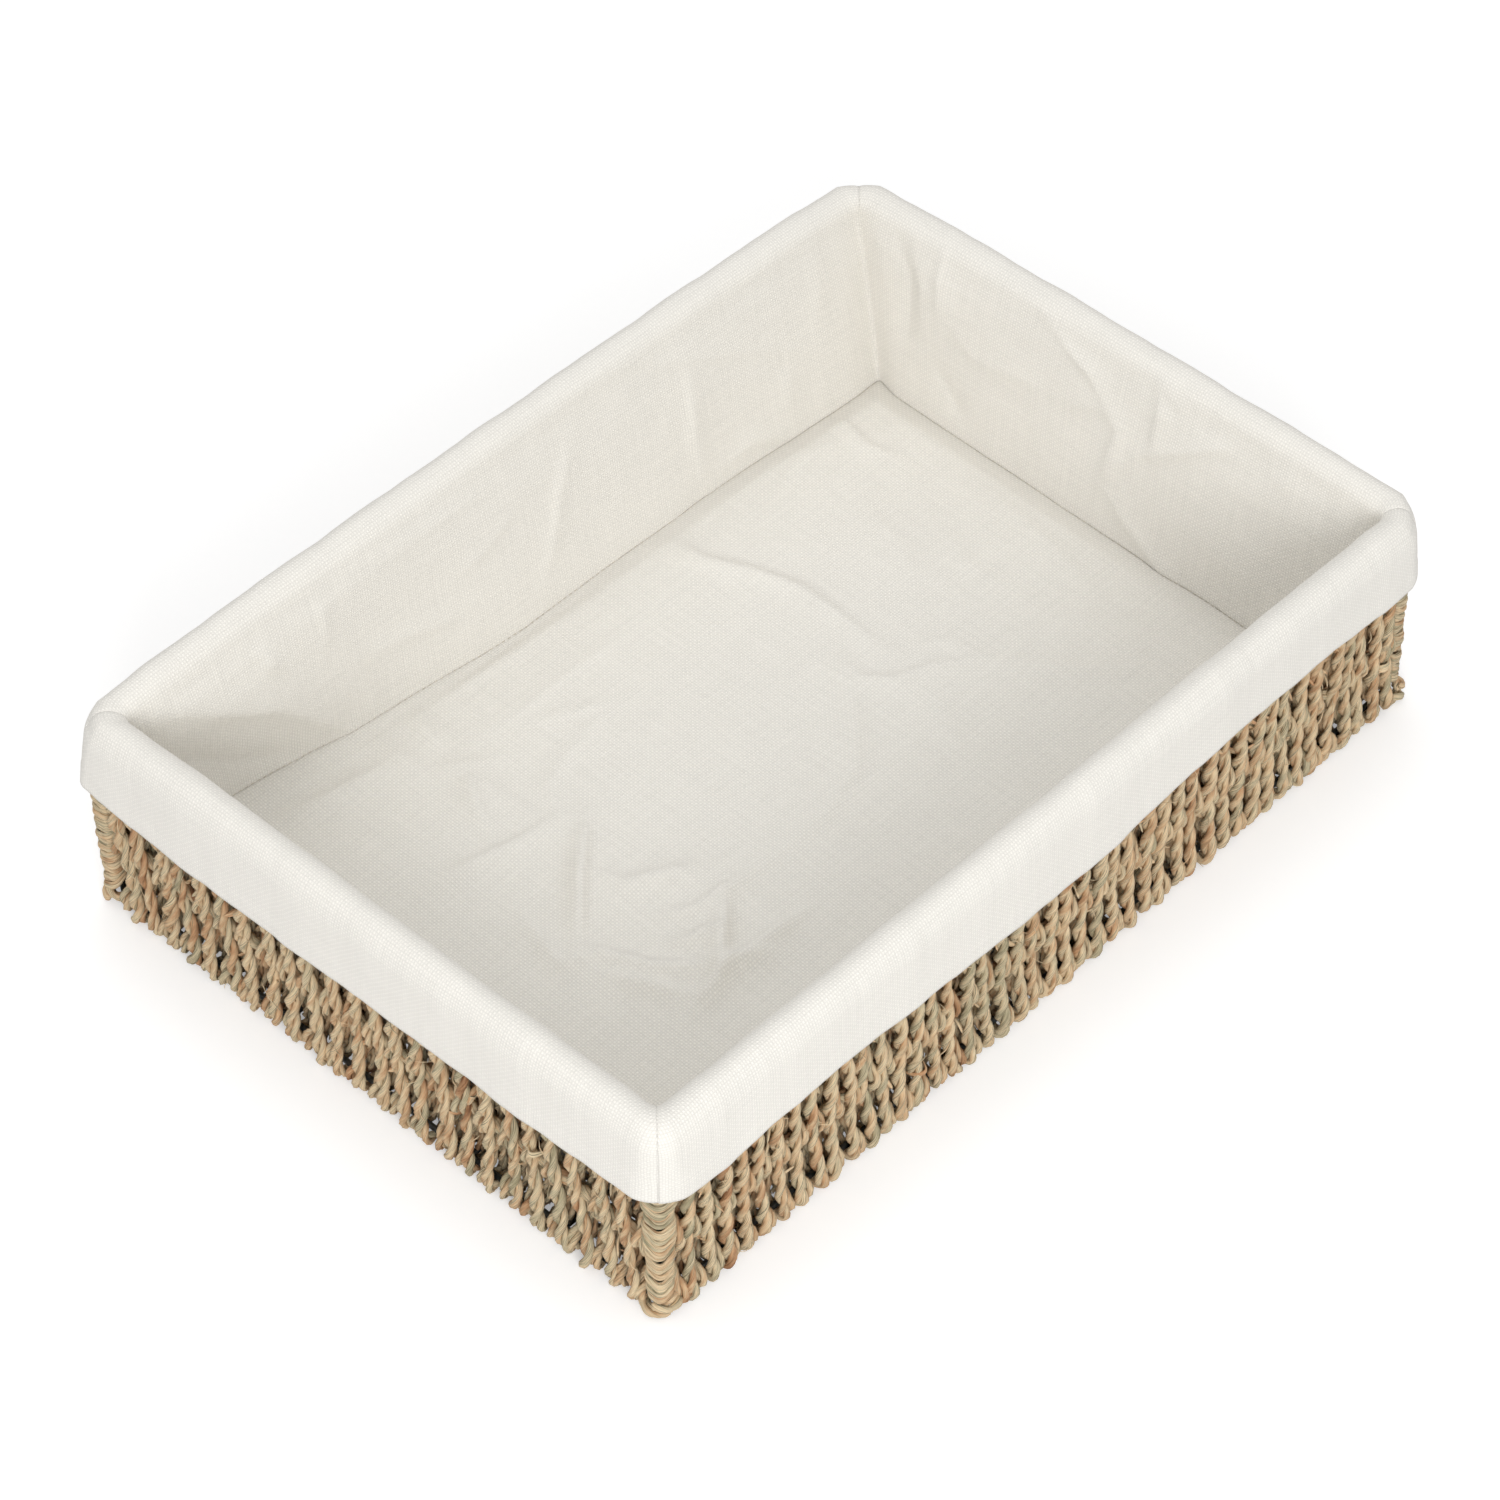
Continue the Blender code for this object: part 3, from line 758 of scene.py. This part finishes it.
def fold_height(along, up, line, height, width, lean):
    """Height of one crease that runs through the points of line and fades at its ends. lean makes one flank
    steeper than the other."""
    best = np.full(along.shape, 1e9)
    value = np.zeros(along.shape)
    spans = [math.dist(a, b) for a, b in zip(line, line[1:])]
    total, done = sum(spans), 0.0
    for (ax, ay), (bx, by), span in zip(line, line[1:], spans):
        ux, uy = (bx - ax) / span, (by - ay) / span
        t = np.clip((along - ax) * ux + (up - ay) * uy, 0, span)
        dx, dy = along - ax - t * ux, up - ay - t * uy
        away = np.hypot(dx, dy)
        signed = dx * uy - dy * ux
        share = (done + t) / total
        fade = np.sin(math.pi * np.clip(share, 0.04, 0.96)) ** 0.6
        shape = CREASE_DEPTH * np.exp(-np.sqrt(away ** 2 + 0.0008 ** 2) / width)
        value = np.where(away < best, fade * height * shape * (1 + lean * np.tanh(signed / width)), value)
        best = np.minimum(best, away)
        done += span
    return value


def in_metres(creases):
    """Creases noted in millimetres as (points, height, width, lean), turned into metres."""
    return [(np.array(line) / 1000, height / 1000, width / 1000, lean)
            for line, height, width, lean in creases]


def crumple(rng, along, up, cell, height):
    """Faint flat facets between soft ridges, as cloth has after it has been folded small."""
    reach_a, reach_b = (along.min(), along.max()), (up.min(), up.max())
    count = int((reach_a[1] - reach_a[0]) * (reach_b[1] - reach_b[0]) / cell ** 2) + 3
    spots = np.stack([rng.uniform(*reach_a, count), rng.uniform(*reach_b, count)], axis=1)
    offsets = rng.uniform(0, cell * 0.5, count)
    nearest = np.full(along.shape, 1e9)
    for (a, b), extra in zip(spots, offsets):
        nearest = np.minimum(nearest, np.sqrt((along - a) ** 2 + (up - b) ** 2 + (cell * 0.25) ** 2) + extra)
    return height * (nearest / cell - 0.25)


def grid_normals(places):
    """Unit normals of a grid of points."""
    normals = np.cross(np.gradient(places, axis=1), np.gradient(places, axis=0))
    return normals / np.linalg.norm(normals, axis=2, keepdims=True)


def cloth_sheet(name, places, threads, material):
    """A closed thin sheet of cloth from a grid of points, with its thread places."""
    rows, columns = places.shape[:2]
    normals = grid_normals(places)
    half = CLOTH_THICKNESS / 2
    front, back = places + normals * half, places - normals * half
    index = np.arange(rows * columns).reshape(rows, columns)
    quads = np.stack([index[:-1, :-1], index[:-1, 1:], index[1:, 1:], index[1:, :-1]], axis=-1).reshape(-1, 4)
    other = quads[:, ::-1] + rows * columns
    edge = np.concatenate([index[0, :], index[1:, -1], index[-1, -2::-1], index[-2:0:-1, 0]])
    following = np.roll(edge, -1)
    rim = np.stack([edge, edge + rows * columns, following + rows * columns, following], axis=-1)
    mesh = bpy.data.meshes.new(name)
    mesh.from_pydata(np.concatenate([front.reshape(-1, 3), back.reshape(-1, 3)]).tolist(), [],
                     np.concatenate([quads, other, rim]).tolist())
    thread = mesh.attributes.new("thread", "FLOAT_VECTOR", "POINT")
    both = np.concatenate([threads.reshape(-1, 3), threads.reshape(-1, 3)]).astype(np.float32)
    thread.data.foreach_set("vector", both.ravel())
    mesh.materials.append(material)
    mesh.shade_smooth()
    return place_object(name, mesh)


def wall_grid(half_run, corners, seed):
    """One panel before it sags: its grid of places, and each point's place along and up the cut cloth."""
    offset, height, up = section()
    over = np.clip((up - ROLL_START) / (ROLL_END - ROLL_START), 0, 1)
    cuff = np.clip((up - ROLL_END) / (up[-1] - ROLL_END), 0, 1)
    straight = int(2 * half_run / GRID)
    places, threads = [], []
    for d, z, v, top, low in zip(offset, height, up, over, cuff):
        radii = [0.003 + (crest - 0.003) * top + (hem - crest) * low for crest, hem, cut in corners]
        cuts = [0.10 + (cut - 0.10) * top + (0.25 - cut) * low for crest, hem, cut in corners]
        line = np.linspace(-(half_run + d - radii[0]), half_run + d - radii[1], straight)
        row = [np.stack([line, np.full(straight, d), line])]
        for end, r, flat in ((-1, radii[0], cuts[0]), (1, radii[1], cuts[1])):
            reach = half_run + d - r
            angles = np.linspace(0, MITRE, MITRE_STEPS)[1:]
            bend_s = (1 - flat) * r * np.sin(angles) + flat * r * angles / (math.pi / 2)
            bend_d = (1 - flat) * r * (1 - np.cos(angles)) + flat * r * angles / (math.pi / 2)
            corner = np.stack([end * (reach + bend_s), d - bend_d, end * (reach + r * angles)])
            row = [corner[:, ::-1], *row] if end < 0 else [*row, corner]
        s, q, t = np.concatenate(row, axis=1)
        places.append(np.stack([s, q, np.full(s.shape, z)], axis=1))
        threads.append(np.stack([t, np.full(s.shape, v), np.full(s.shape, 0.1 * seed)], axis=1))
    return np.array(places), np.array(threads)


def wave(rng, s, length, size):
    """A slow irregular wave along a panel."""
    return size * (np.sin(math.tau * s / length + rng.uniform(0, 6))
                   + 0.6 * np.sin(math.tau * s / (length * 0.63) + rng.uniform(0, 6)))


def liner_wall(side, along, out, half_run, half_depth, corners, creases, foot, hem, sag, crest_bow, seed):
    """One wall panel of the liner. corners are the rounding of its two ends over the rim and at the hem, and
    how flat it is; foot is the floor seam as (place along, moved along, moved outward, height); hem is how far
    the cuff's edge rides up; sag is how far the rim drops at each end, and crest_bow how far it bows out."""
    rng = np.random.default_rng(seed)
    local, threads = wall_grid(half_run, corners, seed)
    s, d, z = local[..., 0], local[..., 1], local[..., 2]
    v = threads[..., 1]
    full = v.max()
    inside = np.clip((0.100 - v) / 0.02, 0, 1)
    cuff = np.clip((v - CUFF_START) / 0.01, 0, 1)
    down_cuff = np.clip((v - CREST) / (full - CREST), 0, 1)
    foot = np.array(foot)
    low = np.clip(1 - v / 0.085, 0, 1)
    edge_run = np.minimum(threads[..., 0] - threads[:, :1, 0], threads[:, -1:, 0] - threads[..., 0])
    calm = np.clip(edge_run / 0.014, 0, 1)
    move_along, move_out, rise = (np.interp(s, foot[:, 0], foot[:, i]) for i in (1, 2, 3))
    to_corner = np.clip(half_run - np.abs(s), 0, 1)
    dip = np.where(s < 0, sag[0], sag[1]) * np.exp(-to_corner / 0.035)
    bow = crest_bow * np.cos(math.pi * np.clip(s / half_run, -1, 1) / 2)
    hem = np.array(hem)
    hem_rise = np.interp(s, hem[:, 0], hem[:, 1]) + calm * wave(rng, s, 0.03, 0.0002)
    s = s + move_along * low
    d = d + move_out * low + bow * (1 - low)
    z = z + (rise - FOOT_Z) * low ** 1.5 - dip * np.clip((v - 0.03) / 0.06, 0, 1) * (1 - cuff * down_cuff)
    z = z + cuff * hem_rise * down_cuff
    base = np.stack([s, d, z], axis=2)
    lift = np.zeros(s.shape)
    lift += inside * crumple(rng, threads[..., 0], v, 0.042, 0.0012)
    lift += inside * crumple(rng, threads[..., 0], v, 0.085, 0.0018)
    for line, height, width, lean in in_metres(creases):
        lift += inside * fold_height(s, z, line, height, width, lean)
    lift += (1 - inside) * (wave(rng, s, 0.06, 0.00020) + wave(rng, s, 0.021, 0.00006))
    lift += cuff * (0.00003 * np.cos(math.tau * s / 0.0099)
                    + 0.0003 * crumple(rng, threads[..., 0], v, 0.05, 1.0))
    lift *= calm
    hem_back = full - v
    lift -= 0.00012 * cuff * np.tanh((hem_back - 0.010) / 0.0006)
    seam_dip = 0.0002 * np.exp(-(v / 0.0016) ** 2)
    seam_dip = seam_dip + (0.0003 - 0.0002 * cuff) * np.exp(-(edge_run / 0.0012) ** 2)
    lift = lift - seam_dip
    base = base + grid_normals(base) * lift[..., None]
    origin = np.array([*out, 0.0]) * half_depth
    world = origin + base[..., :1] * np.array([*along, 0.0]) + base[..., 1:2] * np.array([*out, 0.0])
    world[..., 2] += base[..., 2]
    piece = cloth_sheet("liner_cloth_" + side, world, threads, cotton)
    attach(piece, "liner")
    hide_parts("liner_" + side)
    return world


front_foot = [(-0.206, 0, 0, FOOT_Z), (0.100, 0, 0, FOOT_Z), (0.206, -0.002, 0, FOOT_Z)]
back_foot = [(-0.206, -0.007, -0.007, FOOT_Z), (-0.150, -0.001, -0.003, FOOT_Z), (-0.100, 0, 0, FOOT_Z),
             (0.010, 0, 0, FOOT_Z), (0.083, 0, 0.0045, 0.0165), (0.140, 0, 0.008, 0.020),
             (0.170, 0, 0.0095, 0.024), (0.206, 0, 0.0095, 0.026)]
left_foot = [(-0.136, -0.011, 0, 0.026), (-0.120, -0.007, 0, 0.018), (-0.090, 0, 0, FOOT_Z),
             (0.136, 0, 0, FOOT_Z)]
right_foot = [(-0.136, 0, -0.002, FOOT_Z), (-0.090, 0, -0.002, FOOT_Z), (0, 0, 0.001, FOOT_Z),
              (0.060, 0, 0.002, FOOT_Z), (0.136, -0.007, 0.007, FOOT_Z)]
front_hem = [(-0.225, 0.0045), (-0.195, 0.0008), (-0.174, 0.0040), (-0.135, 0.0052), (-0.095, 0.0034),
             (-0.034, 0.0008), (0.009, -0.0002), (0.030, 0.0010), (0.051, 0.0042), (0.095, 0.0085),
             (0.162, 0.0090), (0.190, 0.0065), (0.225, 0.0070)]
back_hem = [(-0.225, 0.0050), (-0.190, 0.0010), (-0.060, 0.0030), (0.040, 0.0010), (0.190, 0.0020),
            (0.225, 0.0030)]
left_hem = [(-0.155, 0.0025), (-0.130, 0), (-0.088, -0.0005), (-0.042, 0.0002), (0.004, 0.0020),
            (0.048, 0.0026), (0.091, 0.0022), (0.133, 0.0040), (0.155, 0.0050)]
right_hem = [(-0.155, 0.0070), (-0.120, 0.0020), (0, 0.0035), (0.130, 0.0015), (0.155, 0.0050)]
NEAR, RIGHT = (0.009, 0.013, 0.2), (0.017, 0.016, 0.6)
FAR, LEFT = (0.0155, 0.012, 0.75), (0.013, 0.007, 0.5)
back_creases = [
    ([(-40, 118), (-90, 94), (-140, 71), (-210, 31)], 0.7, 4, 0.6),
    ([(-102, 86), (-99, 50), (-104, 20)], 1.6, 6, 0.8),
    ([(-115, 22), (-134, 26), (-160, 14)], 1.2, 4, 0.5),
    ([(-31, 90), (-20, 68), (-12, 45), (-6, 30)], 1.3, 5, 0.8),
    ([(96, 53), (68, 48), (40, 40)], 1, 5, 0.5),
    ([(115, 98), (114, 70)], 1.2, 3, 0.5),
    ([(152, 98), (138, 77)], 1.2, 3, 0.5),
    ([(148, 90), (144, 80)], 1, 3, 0.5),
    ([(200, 96), (142, 58), (108, 20)], 3.6, 10, 0.6),
    ([(202, 72), (165, 40), (130, 22)], -3, 12, 0.0),
    ([(-182, 108), (-184, 80), (-179, 60)], 0.8, 6, 0.6),
    ([(82, 98), (20, 93)], 0.8, 5, 0.5),
    ([(41, 62), (25, 65), (4, 74)], 0.7, 4, 0.5),
    ([(-159, 54), (-156, 28)], 0.9, 6, 0.4),
]
right_creases = [
    ([(128, 112), (113, 85), (112, 45)], -2.6, 11, 0.0),
    ([(116, 112), (104, 82), (103, 50)], 1.8, 9, 0.2),
    ([(98, 113), (94, 75)], 1.6, 5, 0.8),
    ([(46, 110), (28, 100), (9, 91), (-4, 79)], 1.4, 4, 0.8),
    ([(-4, 79), (-10, 72), (-7, 53), (-6, 40)], 1.8, 5, 0.8),
    ([(-10, 48), (-25, 68), (-66, 94), (-73, 105)], 1.6, 4, 0.5),
    ([(-26, 111), (-30, 93), (-29, 71)], 2, 4, 0.7),
    ([(-27, 109), (-42, 98)], 1.4, 4, 0.5),
    ([(22, 68), (0, 78), (-11, 69)], 1, 5, 0.5),
    ([(-7, 39), (-23, 26), (-44, 15), (-60, 10)], 1.4, 5, 0.7),
    ([(91, 74), (70, 63), (28, 71)], 1.2, 8, 0.6),
    ([(97, 48), (74, 24)], -1.4, 8, 0.0),
    ([(-95, 87), (-104, 106)], 1, 5, 0.4),
]
left_creases = [
    ([(-100, 100), (-60, 70), (-30, 30)], 1.2, 5, 0.6),
    ([(40, 95), (62, 40)], 1.2, 6, 0.6),
    ([(100, 90), (90, 60), (98, 25)], 1.4, 5, 0.6),
]
front_creases = [
    ([(-150, 100), (-110, 60), (-95, 25)], 1.4, 6, 0.6),
    ([(-20, 95), (10, 60), (60, 50)], 1, 5, 0.6),
    ([(120, 100), (130, 60), (120, 30)], 1.4, 6, 0.6),
]
front_wall = liner_wall("front", (1, 0), (0, -1), WALL_X, WALL_Y, (NEAR, RIGHT), front_creases, front_foot,
                        front_hem, (0, 0.002), 0.0006, 51)
back_wall = liner_wall("back", (-1, 0), (0, 1), WALL_X, WALL_Y, (FAR, LEFT), back_creases, back_foot,
                       back_hem, (0.004, 0.0035), 0.0012, 52)
left_wall = liner_wall("left", (0, -1), (-1, 0), WALL_Y, WALL_X, (LEFT, NEAR), left_creases, left_foot,
                       left_hem, (0.0035, 0), 0.0008, 53)
right_wall = liner_wall("right", (0, 1), (1, 0), WALL_Y, WALL_X, (RIGHT, FAR), right_creases, right_foot,
                        right_hem, (0.002, 0.004), -0.0004, 54)


# ---- Liner floor ----
# One rectangle of the canvas, sewn to the feet of the four walls. It lies flat on the base weave, rides up a
# little at the back left corner, and carries the sharpest of the packing creases.
FLOOR_LONG, FLOOR_WIDE = 0.411, 0.272
FLOOR_Z = 0.0128
SEAM_REACH = 0.012
RUMPLED = 2.4
floor_creases = [
    ([(69, 128), (72, 103), (81, 84), (88, 62), (87, 38), (85, 9)], 2, 5, 0.8),
    ([(71, 26), (65, 6), (74, -5), (91, -12), (111, -25)], 1.5, 4, 0.6),
    ([(111, -25), (119, -37), (134, -58), (157, -83)], 1.1, 4, 0.6),
    ([(111, -25), (133, -25), (153, -34), (163, -42)], 0.9, 3, 0.6),
    ([(93, 5), (107, -6), (111, -25)], 0.8, 3, 0.4),
    ([(62, 13), (48, -7), (25, -28), (-3, -37), (-28, -38), (-59, -37)], 2.2, 10, 0.8),
    ([(67, 4), (79, -23), (70, -42), (58, -57)], 0.9, 6, 0.5),
    ([(20, 98), (-17, 97), (-45, 97), (-74, 100)], 0.8, 4, 0.5),
    ([(-17, 71), (-34, 80), (-52, 90)], 0.8, 3, 0.5),
    ([(-29, 69), (-51, 64), (-71, 57), (-78, 43), (-84, 30)], 1.2, 4, 0.6),
    ([(-89, 91), (-87, 75), (-86, 56), (-86, 40), (-87, 28)], 1.1, 4, 0.6),
    ([(-73, 32), (-96, 13), (-125, -14)], 2, 4, 0.9),
    ([(-125, -14), (-120, -27), (-113, -43), (-102, -55), (-91, -63)], 1.6, 5, 0.7),
    ([(-66, -40), (-80, -52), (-102, -70)], 2.2, 5, 0.8),
    ([(-93, -24), (-80, -34), (-59, -37), (-46, -35)], 1.2, 4, 0.6),
    ([(-101, -39), (-86, -47), (-80, -52)], 1.4, 4, 0.6),
    ([(-89, -65), (-71, -66), (-51, -66)], 1.6, 4, 0.8),
    ([(-117, -69), (-89, -65), (-74, -73)], 1.6, 5, 0.7),
    ([(-163, 128), (-142, 122), (-115, 118), (-105, 116)], 2, 6, 0.8),
    ([(-99, 133), (-100, 118), (-103, 102)], 1.6, 4, 0.6),
    ([(-77, 132), (-82, 120), (-85, 106)], 1.6, 4, 0.6),
    ([(-96, 101), (-80, 90), (-72, 84)], 1, 4, 0.5),
    ([(-89, 88), (-99, 71), (-106, 56)], 1.2, 5, 0.6),
    ([(-145, 55), (-126, 51), (-105, 45), (-83, 43)], 1.1, 5, 0.6),
    ([(-66, 128), (-34, 127), (-6, 127), (14, 126)], 1.4, 4, 0.8),
    ([(179, 124), (173, 101), (177, 88)], 1.4, 4, 0.7),
    ([(128, 111), (146, 117), (168, 113)], 0.8, 4, 0.5),
    ([(145, 75), (136, 47), (122, 25)], 0.7, 4, 0.5),
    ([(159, 41), (149, 20), (149, -3)], 0.7, 4, 0.5),
    ([(190, 45), (184, 8), (177, -21)], 1, 8, 0.6),
    ([(-127, 19), (-137, -14), (-122, -22)], 1.1, 4, 0.6),
    ([(-93, 10), (-89, -5), (-59, -21)], 1.4, 7, 0.4),
    ([(-130, -30), (-120, -50), (-111, -68)], 1, 4, 0.6),
]


def liner_floor():
    """The floor panel, its edges laid along the feet of the walls."""
    rng = np.random.default_rng(61)
    columns, rows = int(FLOOR_LONG / GRID), int(FLOOR_WIDE / GRID)

    def along_foot(wall, count, flip):
        line = wall[0, ::-1] if flip else wall[0]
        length = lengths_along(line)
        at = np.linspace(0, length[-1], count)
        return np.stack([np.interp(at, length, line[:, i]) for i in range(3)], axis=1)

    front_edge = along_foot(front_wall, columns, False)
    back_edge = along_foot(back_wall, columns, True)
    left_edge = along_foot(left_wall, rows, True)
    right_edge = along_foot(right_wall, rows, False)
    u = np.linspace(0, 1, columns)[None, :, None]
    w = np.linspace(0, 1, rows)[:, None, None]
    ruled = ((1 - w) * front_edge[None] + w * back_edge[None]
             + (1 - u) * left_edge[:, None] + u * right_edge[:, None])
    corners = ((1 - u) * (1 - w) * front_edge[0] + u * (1 - w) * front_edge[-1]
               + (1 - u) * w * back_edge[0] + u * w * back_edge[-1])
    places = ruled - corners
    to_edge = np.minimum(np.minimum(u, 1 - u) * FLOOR_LONG, np.minimum(w, 1 - w) * FLOOR_WIDE)[..., 0]
    places[..., 2] = FLOOR_Z + (places[..., 2] - FLOOR_Z) * np.exp(-(to_edge / SEAM_REACH) ** 2)
    x, y = places[..., 0], places[..., 1]
    inner = np.clip(to_edge / SEAM_REACH, 0, 1)
    lift = inner * (crumple(rng, x, y, 0.050, 0.0013) + crumple(rng, x, y, 0.110, 0.0022) + 0.0016)
    for line, height, width, lean in in_metres(floor_creases):
        in_rumpled_part = line[0][0] < -0.05 and line[0][1] < 0.09
        lift += inner * fold_height(x, y, line, (RUMPLED if in_rumpled_part else 1.0) * height, width, lean)
    places[..., 2] += np.maximum(lift, -0.0003)
    threads = np.stack([x, y, np.full(x.shape, 6.1)], axis=2)
    piece = cloth_sheet("liner_cloth_floor", places, threads, cotton)
    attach(piece, "liner")
    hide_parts("liner_floor")


liner_floor()


# ---- Seam stitching ----
# The panels are joined with a plain running seam. The stitch colour is the thread's own beige darkened by
# painted shade for the needle holes, so the stitches show as short dark dashes along the floor seam, up the
# inside corners and down the corners of the cuff.
STITCH_LENGTH = 0.0022
STITCH_SPACING = 0.0034
THREAD_RADIUS = 0.00018
# Painted shade: the stitch colour is darker than the thread's own beige, for the shade of the needle holes.
STITCH_TONE_AND_PAINTED_SHADE = (0.62, 0.57, 0.47, 1)

seam_thread, thread_tree, thread_shader = new_paint("seam_thread")
thread_place = node(thread_tree, "Attribute", {}, attribute_name="strand")["Vector"]
thread_twist = node(thread_tree, "TexNoise", {"Vector": thread_place, "Scale": 2600.0, "Detail": 2.0})["Fac"]
twist_shade = node(thread_tree, "MapRange", {"Value": thread_twist, "From Min": 0.3, "From Max": 0.7,
                                             "To Min": 0.8, "To Max": 1.1})["Result"]
feed(thread_tree, thread_shader, {
    "Base Color": multiplied(thread_tree, STITCH_TONE_AND_PAINTED_SHADE, twist_shade), "Roughness": 0.9,
    "Normal": node(thread_tree, "Bump", {"Height": thread_twist, "Distance": 0.0001})["Normal"]})


def stitches(name, line, lift, facing):
    """Small thread dashes along a seam; lift moves them clear of the cloth."""
    strands = Strands()
    rng = np.random.default_rng(len(line))
    length = lengths_along(line)
    for spot in np.arange(0.003, length[-1] - 0.003, STITCH_SPACING):
        at = np.linspace(spot, spot + STITCH_LENGTH, 5)
        path = np.stack([np.interp(at, length, line[:, i]) for i in range(3)], axis=1) + lift
        leaf_blade(strands, path, np.array(facing, float), rng, THREAD_RADIUS, THREAD_RADIUS, 0.5, 6)
    piece = strands.make(name, seam_thread)
    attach(piece, "liner")


for side, wall, inward in (("front", front_wall, (0, 1)), ("back", back_wall, (0, -1)),
                           ("left", left_wall, (1, 0)), ("right", right_wall, (-1, 0))):
    lift = np.array([*inward, 0.0]) * 0.0004 + np.array([0, 0, 0.0007])
    stitches("floor_stitches_" + side, wall[0], lift, (*inward, 0.8))
    stitches("corner_stitches_" + side, wall[:, -1], np.zeros(3), (*inward, 0.1))
